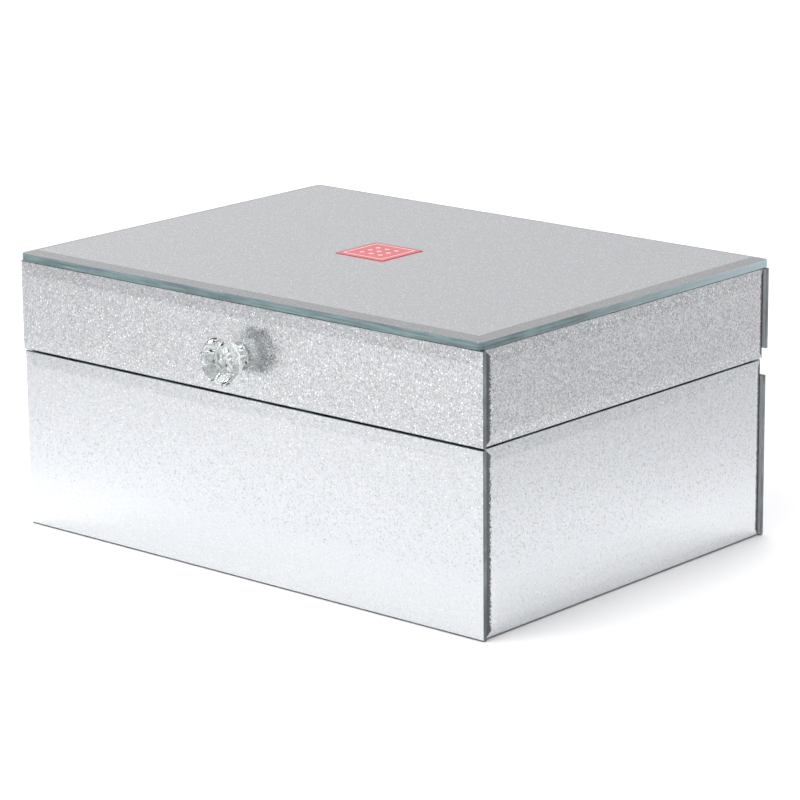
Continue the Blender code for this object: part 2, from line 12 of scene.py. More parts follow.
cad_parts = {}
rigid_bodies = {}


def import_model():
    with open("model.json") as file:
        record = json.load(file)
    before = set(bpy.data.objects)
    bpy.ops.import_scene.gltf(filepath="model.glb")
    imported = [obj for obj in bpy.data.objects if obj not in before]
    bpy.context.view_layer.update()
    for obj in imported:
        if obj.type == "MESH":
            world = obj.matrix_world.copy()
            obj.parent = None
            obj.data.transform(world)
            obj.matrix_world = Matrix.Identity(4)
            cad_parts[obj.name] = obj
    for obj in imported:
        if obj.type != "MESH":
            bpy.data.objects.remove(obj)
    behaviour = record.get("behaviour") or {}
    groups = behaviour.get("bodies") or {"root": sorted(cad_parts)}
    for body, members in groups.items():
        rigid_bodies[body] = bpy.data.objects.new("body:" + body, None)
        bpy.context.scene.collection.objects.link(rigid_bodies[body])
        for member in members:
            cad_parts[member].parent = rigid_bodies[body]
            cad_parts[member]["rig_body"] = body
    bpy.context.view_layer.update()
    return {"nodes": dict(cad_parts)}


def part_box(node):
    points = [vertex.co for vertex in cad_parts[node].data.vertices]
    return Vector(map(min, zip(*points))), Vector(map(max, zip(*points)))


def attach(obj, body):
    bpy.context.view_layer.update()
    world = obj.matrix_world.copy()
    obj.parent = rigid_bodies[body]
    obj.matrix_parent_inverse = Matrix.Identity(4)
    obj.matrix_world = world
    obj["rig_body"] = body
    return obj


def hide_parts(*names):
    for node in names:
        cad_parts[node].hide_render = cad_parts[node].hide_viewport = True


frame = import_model()

MM = 0.001

# Camera, in the row frame
CAMERA_AT = Vector((878.826, -1001.928, 403.190)) * MM
CAMERA_AZIMUTH = math.radians(41.1421)
CAMERA_ELEVATION = math.radians(14.7777)
CAMERA_ROLL = math.radians(-0.515)
CAMERA_LENS = 161.348

# Panes
HEADINGS = {"front": 0, "right": 90, "rear": 180, "left": 270}
BACK, EDGE, LONG_BEVEL, FACE, END_BEVEL = range(5)  # the order of a pane's finishes
BEVEL_WIDTH = 5.0 * MM
ARRIS = 0.22 * MM  # the tiny flat ground along each cut edge
PANE_EDGE = 1.7 * MM  # what the bevel leaves of a side pane's edge
PLATE_EDGE = 2.8 * MM
PLATE_CORNER = 2.5 * MM
KNOB_HOLE_RADIUS = 2.0 * MM
SEAM_CLOSED = {"front": 0.32 * MM, "right": 0.42 * MM, "left": 0.42 * MM}  # how far each pane grows into it

# Label
LABEL_DROP = 0.07 * MM  # how much lower it lies than its CAD node, and how much thinner it is
LABEL_CORNER = 0.8 * MM
FRAME_AT, FRAME_HALF_WIDTH = 9.6, 0.32  # the printed frame, in mm from the middle
DIAMOND_PITCH, DIAMONDS_WITHIN = 4.6, 7.4  # in mm too
DIAMOND_SIZE = 0.27  # in pitches

# Knob: its half-widths across the flats and their distances out from its foot, in mm
KNOB_PROFILE = ((5.0, 0.0), (5.0, 1.6), (8.35, 8.0), (8.35, 11.0), (5.6, 13.6))
KNOB_FACETS = 8
KNOB_EDGE = 0.22 * MM

# Glitter. Each fade is a pair of heights.
FLAKE = 0.5 * MM
SPARK = 1.3 * MM  # the space of one spark
PATCH = 7 * MM
# The silver ground's own tone, lighter low on the box and darker higher up: a painted reflection of the pale
# floor
GROUND_AND_PAINTED_REFLECTION = (0.70, 0.715, 0.735), (0.505, 0.52, 0.545)
PAINTED_REFLECTION_FADE = (8 * MM, 74 * MM)  # where the painted reflection turns the ground from its first tone to its second
# Painted reflection: the ground made paler at the foot, where the panes mirror the bright floor
PAINTED_FOOT_REFLECTION = (0.75, 0.765, 0.78)
PAINTED_FOOT_REFLECTION_FADE = (2 * MM, 26 * MM)  # where the painted reflection at the foot gives way to the ground's own tone
PAINTED_REFLECTION_THINNING = (20 * MM, 76 * MM)  # where the base's flakes grow denser; their thinning towards the foot is a painted reflection of the floor
THINNED_FOR_PAINTED_REFLECTION = {"cover": (0.0, 0.75), "tilt": 0.18, "levels": (0.43, 0.68), "spark": 0.16}
DENSE = {"cover": (1.0, 1.0), "tilt": 0.22, "levels": (0.33, 0.65), "spark": 0.2}
PLATE = {"cover": (1.0, 1.0), "tilt": 0.2, "levels": (0.52, 0.74), "spark": 0.26}
# The flakes under the plate's bevel are darker than under its face: painted shade for the darker band the
# bevel shows
PLATE_BEVEL_PAINTED_SHADE = {"cover": (1.0, 1.0), "tilt": 0.12, "levels": (0.24, 0.38), "spark": 0.1}
PAINTED_EDGE_REFLECTION = ((0.004, 0.006, 0.009), 2.4)  # a painted reflection: the pane's dark cut edge, as seen through the right and left panes' end bevels
PAINTED_EDGE_REFLECTION_STRAY, PAINTED_EDGE_REFLECTION_BLUR = 0.9, 0.25  # how ragged and how soft its edge is, in mm

# Cut edges
TEAL_DARK, TEAL = (0.03, 0.045, 0.052), (0.19, 0.26, 0.27)
PAINTED_REAR_REFLECTION_FADE = (-45 * MM, 85 * MM)  # where the plate's edge turns paler from front to rear: a painted reflection

# Carried-over nodes and soft pieces
BOARD_ROUNDING = 0.25 * MM
FELT_ROUNDING = 0.2 * MM
CLOTH_FRAMES = 20

# Stage
FLOOR_HALF_WIDTH = 30.0
BACKDROP = (0.93, 0.93, 0.94)


# ---------------------------------------------------------------- node helpers


class Finish:
    """A material and short ways to add nodes to it.

    An input is a number, a colour or another node's output.
    """

    def __init__(self, name):
        self.material = bpy.data.materials.new(name)
        self.material.use_nodes = True
        self.tree = self.material.node_tree
        self.surface = self.tree.nodes["Principled BSDF"]
        self.place = self.add("ShaderNodeTexCoord").outputs["Object"]
        self.normal = self.add("ShaderNodeNewGeometry").outputs["Normal"]

    def add(self, kind, inputs=None, **settings):
        made = self.tree.nodes.new(kind)
        for name, value in settings.items():
            setattr(made, name, value)
        for key, value in (inputs or {}).items():
            self.put(made.inputs[key], value)
        return made

    def put(self, socket, value):
        if isinstance(value, bpy.types.NodeSocket):
            self.tree.links.new(value, socket)
        elif isinstance(value, (tuple, list)) and len(value) == 3 and socket.type == "RGBA":
            socket.default_value = (*value, 1.0)
        else:
            socket.default_value = value

    def set(self, **inputs):
        """Sets the Principled shader's inputs, with underscores for the spaces of their names."""
        for name, value in inputs.items():
            self.put(self.surface.inputs[name.replace("_", " ")], value)
        return self

    def math(self, operation, a, b=0.0):
        return self.add("ShaderNodeMath", {0: a, 1: b}, operation=operation).outputs[0]

    def vector(self, operation, a, b=(0.0, 0.0, 0.0)):
        return self.add("ShaderNodeVectorMath", {0: a, 1: b}, operation=operation).outputs["Vector"]

    def scaled(self, a, factor):
        made = self.add("ShaderNodeVectorMath", {0: a, "Scale": factor}, operation="SCALE")
        return made.outputs["Vector"]

    def stretched(self, along):
        """The object's coordinates, scaled by a factor for each axis."""
        return self.vector("MULTIPLY", self.place, along)

    def noise(self, size, detail=2.0, roughness=0.5, at=None):
        """Noise whose patches are about this many metres across."""
        inputs = {"Vector": at or self.place, "Scale": 1.0 / size, "Detail": detail, "Roughness": roughness}
        return self.add("ShaderNodeTexNoise", inputs).outputs["Fac"]

    def cells(self, size):
        """A node of irregular cells this many metres across, each with a colour of its own."""
        return self.add("ShaderNodeTexVoronoi", {"Vector": self.place, "Scale": 1.0 / size})

    def remap(self, value, low, high, to_low=0.0, to_high=1.0):
        inputs = {"Value": value, "From Min": low, "From Max": high, "To Min": to_low, "To Max": to_high}
        return self.add("ShaderNodeMapRange", inputs).outputs["Result"]

    def mix(self, factor, a, b):
        """A colour between two colours."""
        made = self.add("ShaderNodeMix", data_type="RGBA")
        sockets = [s for s in made.inputs if s.enabled]
        for socket, value in zip(sockets, (factor, a, b)):
            self.put(socket, value)
        return next(s for s in made.outputs if s.enabled)

    def parts(self, vector):
        return self.add("ShaderNodeSeparateXYZ", {"Vector": vector}).outputs

    def bump(self, height, distance, strength):
        """Roughens the surface by a height from 0 to 1 over this distance."""
        inputs = {"Height": height, "Distance": distance, "Strength": strength}
        return self.set(Normal=self.add("ShaderNodeBump", inputs).outputs["Normal"])


# ---------------------------------------------------------------- materials


def glitter_finish(name, look, edge_reflection=None):
    """Clear glass over silver flakes, each tilted its own way, on a smooth silver ground.

    The flakes cover the first share of the look's cover at the foot of the box and the second at the seam; a
    thinning towards the foot is a painted reflection of the floor.
    tilt is how far they lean, levels how bright they are, and spark the size of the brightest ones.
    The last argument is the colour and the width in mm of a painted reflection: the pane's dark cut edge,
    seen through the bevel at its rim.
    """
    made = Finish(name)
    flakes = made.cells(FLAKE)
    dust = made.cells(0.5 * FLAKE)
    sparks = made.cells(SPARK)
    own = made.parts(flakes.outputs["Color"])
    fine = made.parts(dust.outputs["Color"])
    spark_own = made.parts(sparks.outputs["Color"])
    height = made.parts(made.place)[2]
    # Painted reflection: where a look's cover rises with height, the flakes thin towards the foot as if
    # washed out by the mirrored floor
    cover = made.remap(height, *PAINTED_REFLECTION_THINNING, *look["cover"])
    patchy = made.remap(made.noise(PATCH), 0.3, 0.7, -0.12, 0.12)
    here = made.math("ADD", cover, made.math("MULTIPLY", patchy, cover))
    present = made.math("LESS_THAN", own[0], here)
    # Most flakes lie nearly flat and a few stand up, which are the ones that sparkle.
    steep = made.math("ADD", made.math("POWER", fine[0], 2.5), 0.12)
    spread = made.vector("SUBTRACT", flakes.outputs["Color"], (0.5, 0.5, 0.5))
    twist = made.vector("SUBTRACT", dust.outputs["Color"], (0.5, 0.5, 0.5))
    lean = made.vector("ADD", spread, made.scaled(twist, 0.6))
    lean = made.scaled(lean, made.math("MULTIPLY", steep, 2 * look["tilt"]))
    lean = made.scaled(lean, present)
    normal = made.vector("NORMALIZE", made.vector("ADD", made.normal, lean))
    mixed = made.math("ADD", own[1], made.math("MULTIPLY", fine[1], 0.6))
    level = made.remap(mixed, 0.2, 1.4, *look["levels"])
    tinted = made.mix(own[2], (0.94, 0.97, 1.0), (0.98, 0.98, 0.985))
    flake = made.scaled(tinted, level)
    # Painted reflection: the ground is lighter low down, where the panes would mirror the pale floor
    ground = made.mix(made.remap(height, *PAINTED_REFLECTION_FADE), *GROUND_AND_PAINTED_REFLECTION)
    # Painted reflection at the foot: paler there, for the bright floor mirrored close to the ground
    ground = made.mix(made.remap(height, *PAINTED_FOOT_REFLECTION_FADE), PAINTED_FOOT_REFLECTION, ground)
    colour = made.mix(present, ground, flake)
    close = made.math("LESS_THAN", sparks.outputs["Distance"], look["spark"])
    chosen = made.math("LESS_THAN", spark_own[0], made.math("MULTIPLY", here, 0.6))
    colour = made.mix(made.math("MULTIPLY", close, chosen), colour, (0.99, 0.99, 1.0))
    metal = 1.0
    # Painted reflection: a dark band near the rim stands for the pane's cut edge seen through the bevel
    if edge_reflection:
        dark, width = edge_reflection
        rim = made.add("ShaderNodeAttribute", attribute_name="rim").outputs["Fac"]
        stray = made.math("MULTIPLY", made.math("SUBTRACT", own[2], 0.5), PAINTED_EDGE_REFLECTION_STRAY)
        painted_reflection_shown = made.remap(made.math("ADD", rim, stray), width - PAINTED_EDGE_REFLECTION_BLUR, width + PAINTED_EDGE_REFLECTION_BLUR)
        colour = made.mix(painted_reflection_shown, dark, colour)
        metal = painted_reflection_shown
    rough = made.remap(own[2], 0.0, 1.0, 0.16, 0.30)
    made.set(Base_Color=colour, Metallic=metal, Roughness=rough, Normal=normal)
    made.set(Coat_Weight=1.0, Coat_Roughness=0.03, Coat_IOR=1.5)
    made.set(Coat_Normal=made.normal)
    return made.material


def cut_edge_finish(name, dark, light, along, rear=None):
    """The polished edge of a pane, green-blue from the depth of the glass, with faint streaks.

    along is how much the streaks are squeezed on each axis. rear is the colour that the edge turns to
    towards the back of the box, if it changes: a painted reflection.
    """
    made = Finish(name)
    streaks = made.noise(1.0, 3.0, 0.6, made.stretched(along))
    blotches = made.noise(11 * MM)
    level = made.math("MULTIPLY", streaks, made.math("ADD", blotches, 0.45))
    colour = made.mix(made.remap(level, 0.3, 0.72), dark, light)
    if rear:
        # Painted reflection: the edge turns paler towards the rear
        colour = made.mix(made.remap(made.parts(made.place)[1], *PAINTED_REAR_REFLECTION_FADE), colour, rear)
    made.set(Base_Color=colour, Roughness=0.16, Specular_IOR_Level=0.6)
    made.set(Coat_Weight=0.6, Coat_Roughness=0.08)
    made.bump(streaks, 0.02 * MM, 0.4)
    return made.material


def backing_finish():
    """Grey lacquer over the glitter, brushed on."""
    made = Finish("pane_backing")
    brushed = made.noise(1.0, 4.0, 0.6, made.stretched((90, 90, 900)))
    made.set(
        Base_Color=made.mix(brushed, (0.46, 0.465, 0.47), (0.58, 0.585, 0.59)),
        Roughness=made.remap(brushed, 0.3, 0.7, 0.5, 0.7),
    )
    return made.bump(brushed, 0.03 * MM, 0.5).material


def crystal_finish():
    """Clear crystal that lets light through to what lies behind it."""
    made = Finish("cut_crystal")
    wisps = made.noise(6 * MM)
    made.set(
        Base_Color=made.mix(wisps, (0.84, 0.895, 0.885), (0.90, 0.935, 0.93)),
        Transmission_Weight=1.0,
        IOR=1.5,
        Roughness=made.remap(wisps, 0.3, 0.7, 0.0, 0.015),
    )
    clear = made.add("ShaderNodeBsdfTransparent", {"Color": (0.97, 0.985, 0.98)})
    shadow = made.add("ShaderNodeLightPath").outputs["Is Shadow Ray"]
    both = made.add(
        "ShaderNodeMixShader", {0: shadow, 1: made.surface.outputs["BSDF"], 2: clear.outputs["BSDF"]}
    )
    made.put(made.tree.nodes["Material Output"].inputs["Surface"], both.outputs[0])
    return made.material


def label_finish():
    """Coral card printed with a pale frame and a lattice of small diamonds."""
    made = Finish("printed_label")
    x, y, _ = made.parts(made.scaled(made.place, 1 / MM))
    across, along = made.math("ABSOLUTE", x), made.math("ABSOLUTE", y)
    reach = made.math("MAXIMUM", across, along)
    from_frame = made.math("ABSOLUTE", made.math("SUBTRACT", reach, FRAME_AT))
    frame_line = made.math("LESS_THAN", from_frame, FRAME_HALF_WIDTH)

    def from_centre(value):
        """The distance from the nearest diamond's middle, in pitches."""
        cell = made.math("FRACT", made.math("ADD", made.math("DIVIDE", value, DIAMOND_PITCH), 100.5))
        return made.math("ABSOLUTE", made.math("SUBTRACT", cell, 0.5))

    diamond = made.math("LESS_THAN", made.math("ADD", from_centre(x), from_centre(y)), DIAMOND_SIZE)
    inside = made.math("LESS_THAN", reach, DIAMONDS_WITHIN)
    print_here = made.math("MAXIMUM", frame_line, made.math("MULTIPLY", diamond, inside))
    worn = made.remap(made.noise(0.9 * MM, 3.0, 0.7), 0.35, 0.5)
    ink = made.math("MULTIPLY", print_here, made.math("ADD", made.math("MULTIPLY", worn, 0.35), 0.6))
    grain = made.noise(0.35 * MM)
    card = made.mix(grain, (0.50, 0.07, 0.085), (0.58, 0.10, 0.12))
    made.set(
        Base_Color=made.mix(ink, card, (0.82, 0.58, 0.53)),
        Roughness=made.remap(grain, 0.3, 0.7, 0.36, 0.5),
        Coat_Weight=0.35,
        Coat_Roughness=0.2,
    )
    return made.bump(made.math("ADD", grain, made.math("MULTIPLY", ink, 0.6)), 0.03 * MM, 0.5).material


def velvet_finish(name, pile, painted_sheen):
    """Short velvet: a dark pile with painted sheen, lighter in patches where it leans, and a fine fibre
    grain.
    """
    made = Finish(name)
    fibres = made.noise(0.35 * MM, 3.0, 0.65)
    leaning_and_painted_sheen = made.noise(13 * MM, 3.0, 0.55)
    shade = made.math(
        "ADD", made.math("MULTIPLY", fibres, 0.55), made.math("MULTIPLY", leaning_and_painted_sheen, 0.45)
    )
    made.set(
        # Painted sheen: the pile's colour is lighter in the patches where it leans
        Base_Color=made.mix(made.remap(shade, 0.34, 0.66), pile, painted_sheen),
        Roughness=made.remap(leaning_and_painted_sheen, 0.3, 0.7, 0.82, 0.98),
        Specular_IOR_Level=0.15,
        Sheen_Weight=0.55,
        Sheen_Roughness=0.35,
        Sheen_Tint=(0.75, 0.76, 0.80),
    )
    height = made.math("ADD", made.math("MULTIPLY", fibres, 0.3), leaning_and_painted_sheen)
    return made.bump(height, 0.25 * MM, 0.7).material


def felt_finish():
    """Pressed black felt, with painted sheen making its fibres a little paler where they stand up in tufts.
    """
    made = Finish("pressed_felt")
    fibres = made.noise(0.8 * MM, 5.0, 0.75)
    tufts = made.noise(5 * MM)
    painted_sheen = made.math("MULTIPLY", fibres, tufts)
    made.set(
        # Painted sheen: the standing fibres of the tufts are made paler in colour
        Base_Color=made.mix(painted_sheen, (0.012, 0.012, 0.014), (0.16, 0.16, 0.17)),
        Roughness=made.remap(tufts, 0.3, 0.7, 0.9, 1.0),
        Specular_IOR_Level=0.1,
        Sheen_Weight=0.3,
        Sheen_Roughness=0.5,
    )
    return made.bump(fibres, 0.3 * MM, 0.8).material


def fibreboard_finish():
    """Black-stained fibreboard, slightly mottled, its fibres lying level."""
    made = Finish("stained_fibreboard")
    fibres = made.noise(1.0, 4.0, 0.7, made.stretched((700, 700, 2600)))
    mottle = made.noise(7 * MM, 3.0)
    shade = made.math("MULTIPLY", fibres, made.math("ADD", mottle, 0.5))
    made.set(
        Base_Color=made.mix(made.remap(shade, 0.25, 0.8), (0.008, 0.008, 0.009), (0.055, 0.052, 0.05)),
        Roughness=made.remap(fibres, 0.3, 0.7, 0.58, 0.85),
        Specular_IOR_Level=0.35,
    )
    return made.bump(fibres, 0.06 * MM, 0.6).material


def nickel_finish():
    """Bright nickel plate with fine polishing lines and a few duller patches."""
    made = Finish("nickel_plate")
    lines = made.noise(1.0, 3.0, 0.6, made.stretched((150, 2600, 2600)))
    patches = made.noise(6 * MM)
    made.set(
        Base_Color=made.mix(patches, (0.60, 0.59, 0.57), (0.74, 0.73, 0.71)),
        Metallic=1.0,
        Roughness=made.remap(made.math("ADD", lines, patches), 0.7, 1.3, 0.2, 0.34),
    )
    return made.bump(lines, 0.004 * MM, 0.25).material


def rubber_finish():
    """Soft clear rubber, slightly milky."""
    made = Finish("clear_rubber_button")
    haze = made.noise(0.8 * MM)
    made.set(
        Base_Color=made.mix(haze, (0.78, 0.80, 0.79), (0.88, 0.90, 0.89)),
        Roughness=made.remap(haze, 0.3, 0.7, 0.22, 0.42),
        Transmission_Weight=0.75,
        IOR=1.42,
        Subsurface_Weight=0.1,
    )
    return made.bump(haze, 0.03 * MM, 0.3).material


glitter = {
    # The base's flakes thin towards the foot: a painted reflection
    "base": glitter_finish("fading_glitter_under_glass", THINNED_FOR_PAINTED_REFLECTION),
    "lid": glitter_finish("glitter_under_glass", DENSE),
    "plate": glitter_finish("glitter_under_plate", PLATE),
    "plate_bevel": glitter_finish("glitter_under_plate_bevel", PLATE_BEVEL_PAINTED_SHADE),
}
# The end bevels of the right and left panes carry a painted reflection of the dark cut edge
edge_reflection_glitter = {
    "base": glitter_finish("fading_glitter_under_corner_bevel", THINNED_FOR_PAINTED_REFLECTION, PAINTED_EDGE_REFLECTION),
    "lid": glitter_finish("glitter_under_corner_bevel", DENSE, PAINTED_EDGE_REFLECTION),
}
edge_finish = cut_edge_finish("pane_cut_edge", TEAL_DARK, TEAL, (60, 60, 60))
# The plate's edge turns paler towards the rear: a painted reflection
plate_edge_finish = cut_edge_finish(
    "plate_cut_edge", (0.05, 0.10, 0.11), (0.17, 0.28, 0.28), (45, 45, 900), rear=(0.40, 0.53, 0.56)
)
backing = backing_finish()
crystal = crystal_finish()
label_print = label_finish()
velvet = velvet_finish("black_velvet", (0.004, 0.004, 0.005), (0.03, 0.03, 0.034))
felt = felt_finish()
fibreboard = fibreboard_finish()
nickel = nickel_finish()
rubber = rubber_finish()


# ---------------------------------------------------------------- pieces


def add_piece(name, mesh, node, slot, *coats, at=(0.0, 0.0, 0.0)):
    """A new piece that stands for a CAD node and rides on its body."""
    piece = bpy.data.objects.new(name, mesh)
    bpy.context.scene.collection.objects.link(piece)
    piece.location = at
    for coat in coats:
        mesh.materials.append(coat)
    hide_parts(node)
    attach(piece, frame["nodes"][node]["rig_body"])
    return piece


def finished_mesh(name, mesh, *steps):
    """The mesh after some modifiers, each given as (kind, settings)."""
    shape = bpy.data.objects.new(name, mesh)
    bpy.context.scene.collection.objects.link(shape)
    for kind, settings in steps:
        step = shape.modifiers.new(kind.title(), kind)
        for key, value in settings.items():
            setattr(step, key, value)
    bpy.context.view_layer.update()
    result = bpy.data.meshes.new_from_object(
        shape.evaluated_get(bpy.context.evaluated_depsgraph_get())
    )
    result.name = name
    bpy.data.objects.remove(shape)
    return result


def skin(shape, loops):
    """Closes a solid over loops of points, lowest first. Gives its bottom, its bands of sides and its top."""
    count = len(loops[0])
    bottom = shape.faces.new(reversed(loops[0]))
    bands = []
    for lower, upper in zip(loops, loops[1:]):
        band = []
        for i in range(count):
            j = (i + 1) % count
            band.append(shape.faces.new((lower[i], lower[j], upper[j], upper[i])))
        bands.append(band)
    return bottom, bands, shape.faces.new(loops[-1])


def as_mesh(name, shape):
    """The shape as a mesh. The shape is freed."""
    mesh = bpy.data.meshes.new(name)
    shape.to_mesh(mesh)
    shape.free()
    return mesh


def rectangle(half_x, half_y, radius, steps):
    """A rectangle's corner points, anticlockwise, each corner rounded in this many steps."""
    points = []
    for quarter, (sx, sy) in enumerate(((1, 1), (-1, 1), (-1, -1), (1, -1))):
        centre = Vector((sx * (half_x - radius), sy * (half_y - radius)))
        for step in range(steps + 1):
            angle = math.radians(90) * (quarter + (step / steps if steps else 0.5))
            reach = radius if steps else radius * math.sqrt(2)
            points.append(centre + reach * Vector((math.cos(angle), math.sin(angle))))
    return points


def pane_mesh(name, half_x, half_y, thickness, edge, coats, corner=0.0, steps=0, hole=None):
    """A bevelled pane lying face up on Z = 0, with coats in the order of BACK to END_BEVEL.

    The point value rim is the distance in from its outline, in mm.
    """
    slope = (thickness - edge) / BEVEL_WIDTH
    rings = (
        (ARRIS, 0.0),
        (0.0, ARRIS),
        (0.0, edge - ARRIS),
        (ARRIS, edge + slope * ARRIS),
        (BEVEL_WIDTH, thickness),
    )
    shape = bmesh.new()
    rim = shape.verts.layers.float.new("rim")
    loops = []
    for inset, level in rings:
        radius = max(corner - inset, 0.02 * MM) if steps else 0.0
        points = rectangle(half_x - inset, half_y - inset, radius, steps)
        loop = [shape.verts.new((point.x, point.y, level)) for point in points]
        for vertex in loop:
            vertex[rim] = inset / MM
        loops.append(loop)
    bottom, (*edge_bands, bevels), top = skin(shape, loops)
    bottom.material_index = BACK
    top.material_index = FACE
    for band in edge_bands:
        for side in band:
            side.material_index = EDGE
    for side in bevels:
        side.normal_update()
        at_end = abs(side.normal.x) > abs(side.normal.y)
        side.material_index = END_BEVEL if at_end else LONG_BEVEL
    mesh = as_mesh(name, shape)
    for coat in coats:
        mesh.materials.append(coat)
    if hole:
        mesh = drilled(mesh, hole)
    # Looking into a bevel, what lies under it appears turned by a fraction of its surface's own slant.
    mesh.shade_smooth()
    up = Vector((0, 0, 1))
    normals = [None] * len(mesh.loops)
    for side in mesh.polygons:
        bevelled = side.material_index in (LONG_BEVEL, END_BEVEL)
        seen = (side.normal + 3 * up).normalized() if bevelled else side.normal.copy()
        for corner_index in side.loop_indices:
            normals[corner_index] = seen
    mesh.normals_split_custom_set(normals)
    return mesh


def drilled(mesh, hole):
    """The pane with a round hole through it at (x, y, radius)."""
    x, y, radius = hole
    shape = bmesh.new()
    bmesh.ops.create_cone(
        shape, cap_ends=True, segments=32, radius1=radius, radius2=radius, depth=20 * MM
    )
    bmesh.ops.translate(shape, vec=(x, y, 0), verts=shape.verts)
    for side in shape.faces:
        side.material_index = EDGE
    cutter_mesh = as_mesh("hole_cutter", shape)
    cutter = bpy.data.objects.new("hole_cutter", cutter_mesh)
    bpy.context.scene.collection.objects.link(cutter)
    for coat in mesh.materials:
        cutter_mesh.materials.append(coat)
    result = finished_mesh(mesh.name, mesh, ("BOOLEAN", {"operation": "DIFFERENCE", "object": cutter}))
    bpy.data.objects.remove(cutter)
    return result


def wall_pane(body, side):
    """One upright pane of the base or lid, facing outward."""
    node = f"{body}_{side}_glass"
    low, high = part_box(node)
    # The panes' ground edges nearly meet, so the seam is narrower than the CAD's gap.
    if body == "base":
        high.z += SEAM_CLOSED.get(side, 0.0)
    else:
        low.z -= SEAM_CLOSED.get(side, 0.0)
    middle, size = (low + high) / 2, high - low
    ends = side in ("front", "rear")
    across, thickness = (size.x, size.y) if ends else (size.y, size.x)
    hole = None
    if node == "lid_front_glass":
        knob = sum(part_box("knob_crystal"), Vector()) / 2
        hole = (0.0, knob.z - middle.z, KNOB_HOLE_RADIUS)
    own, ends_own = glitter[body], (glitter if ends else edge_reflection_glitter)[body]
    coats = (backing, edge_finish, own, own, ends_own)
    mesh = pane_mesh(node + "_pane", across / 2, size.z / 2, thickness, PANE_EDGE, coats, hole=hole)
    heading = Matrix.Rotation(math.radians(HEADINGS[side]), 4, "Z")
    outward = heading @ Vector((0, -1, 0))
    back = middle - outward * thickness / 2
    mesh.transform(Matrix.Translation(back) @ heading @ Matrix.Rotation(math.radians(90), 4, "X"))
    add_piece(node + "_pane", mesh, node, "glitter_glass")


def top_plate():
    """The lid's plate, its corners rounded."""
    low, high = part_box("lid_top_glass")
    size, middle = high - low, (low + high) / 2
    # Darker flakes under the plate's bevel: painted shade
    own, painted_shade_under_bevel = glitter["plate"], glitter["plate_bevel"]
    coats = (backing, plate_edge_finish, painted_shade_under_bevel, own, painted_shade_under_bevel)
    mesh = pane_mesh("lid_top_plate", size.x / 2, size.y / 2, size.z, PLATE_EDGE, coats, PLATE_CORNER, 6)
    mesh.transform(Matrix.Translation((middle.x, middle.y, low.z)))
    add_piece("lid_top_plate", mesh, "lid_top_glass", "glitter_glass")


def knob():
    """The octagonal crystal, a little smaller than its CAD node, its facets flat and its edges ground."""
    low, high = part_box("knob_crystal")
    shape = bmesh.new()
    corner = 1 / math.cos(math.pi / KNOB_FACETS)
    loops = []
    for half_width, out in KNOB_PROFILE:
        loop = []
        for i in range(KNOB_FACETS):
            angle = 2 * math.pi * (i + 0.5) / KNOB_FACETS
            reach = half_width * MM * corner
            loop.append(shape.verts.new((reach * math.cos(angle), reach * math.sin(angle), out * MM)))
        loops.append(loop)
    skin(shape, loops)
    bmesh.ops.bevel(
        shape, geom=list(shape.edges), offset=KNOB_EDGE, segments=1, profile=0.5, affect="EDGES"
    )
    mesh = as_mesh("crystal_knob", shape)
    middle = (low + high) / 2
    upright = Matrix.Rotation(math.radians(90), 4, "X")
    mesh.transform(Matrix.Translation((middle.x, high.y, middle.z)) @ upright)
    mesh.shade_flat()
    add_piece("crystal_knob", mesh, "knob_crystal", "crystal", crystal)


def label():
    """The square card, its corners a little rounded. Its origin is its middle, for the printed pattern."""
    low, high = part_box("top_label")
    low.z -= LABEL_DROP
    high.z -= 2 * LABEL_DROP
    size, middle = high - low, (low + high) / 2
    shape = bmesh.new()
    loops = []
    for inset, level in ((0.0, 0.0), (0.0, 0.7), (0.1 * MM, 1.0)):
        points = rectangle(size.x / 2 - inset, size.y / 2 - inset, LABEL_CORNER, 4)
        loops.append([shape.verts.new((p.x, p.y, size.z * (level - 0.5))) for p in points])
    skin(shape, loops)
    mesh = as_mesh("printed_label", shape)
    add_piece("printed_label", mesh, "top_label", "label_card", label_print, at=middle)


# ---------------------------------------------------------------- soft pieces


def grid_lines(low, high, radius, spacing, steps=3):
    """Places along one axis: close together within a radius of each end, and evenly spaced between."""
    ends = [radius * i / steps for i in range(steps)]
    length = high - low
    count = max(1, round((length - 2 * radius) / spacing))
    middle = [radius + (length - 2 * radius) * i / count for i in range(count + 1)]
    return [low + p for p in ends + middle] + [high - p for p in reversed(ends)]


def cushioned_box(name, low, high, radius, spacing):
    """A rounded box with an even grid of quads over its faces, ready to be shaped further."""
    axes = [grid_lines(low[k], high[k], radius, spacing) for k in range(3)]
    last = [len(axis) - 1 for axis in axes]
    shape = bmesh.new()
    found = {}

    def vertex(key):
        if key not in found:
            point = Vector([axes[k][key[k]] for k in range(3)])
            core = Vector([min(max(point[k], low[k] + radius), high[k] - radius) for k in range(3)])
            away = point - core
            if away.length > 1e-9:
                point = core + away.normalized() * radius
            found[key] = shape.verts.new(point)
        return found[key]

    for k in range(3):
        a, b = (k + 1) % 3, (k + 2) % 3
        for end in (0, last[k]):
            for i in range(last[a]):
                for j in range(last[b]):
                    corners = []
                    for da, db in ((0, 0), (1, 0), (1, 1), (0, 1)):
                        key = [0, 0, 0]
                        key[k], key[a], key[b] = end, i + da, j + db
                        corners.append(vertex(tuple(key)))
                    shape.faces.new(corners if end else corners[::-1])
    bmesh.ops.recalc_face_normals(shape, faces=shape.faces)
    mesh = as_mesh(name, shape)
    mesh.shade_smooth()
    return mesh


